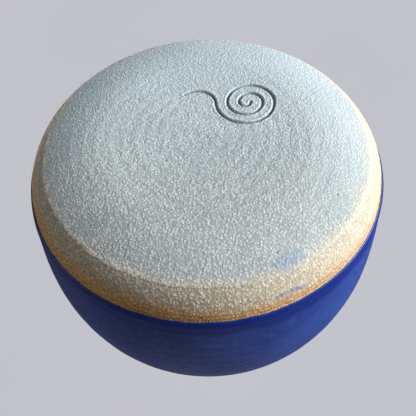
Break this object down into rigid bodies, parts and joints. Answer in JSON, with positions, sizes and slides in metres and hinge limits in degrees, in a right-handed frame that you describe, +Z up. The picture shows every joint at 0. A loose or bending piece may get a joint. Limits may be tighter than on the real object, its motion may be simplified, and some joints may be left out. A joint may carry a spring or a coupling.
{
  "type": "yarn bowl",
  "caption": "Round stoneware yarn bowl with a flat unglazed base, a rolled glaze edge, an open mouth and a curled slot in the wall that guides the yarn.",
  "frame": {"origin": "centre of the flat base, on the surface it stands on", "axes": "+Z up through the mouth; the yarn slot is on the -Y side"},
  "size_m": [0.155, 0.155, 0.0885],
  "materials": {
    "bare_stoneware": "unglazed, sandy buff clay with orange-brown flashing by the glaze",
    "outer_glaze": "satin mottled cobalt blue, navy where it pools",
    "liner_glaze": "glossy cobalt blue with throwing rings",
    "base_wash": "matt, grainy, pale grey-blue"
  },
  "bodies": {
    "root": {"stoneware_body": "bare_stoneware", "outer_glaze": "outer_glaze", "liner_glaze": "liner_glaze", "base_wash": "base_wash"}
  },
  "joints": []
}
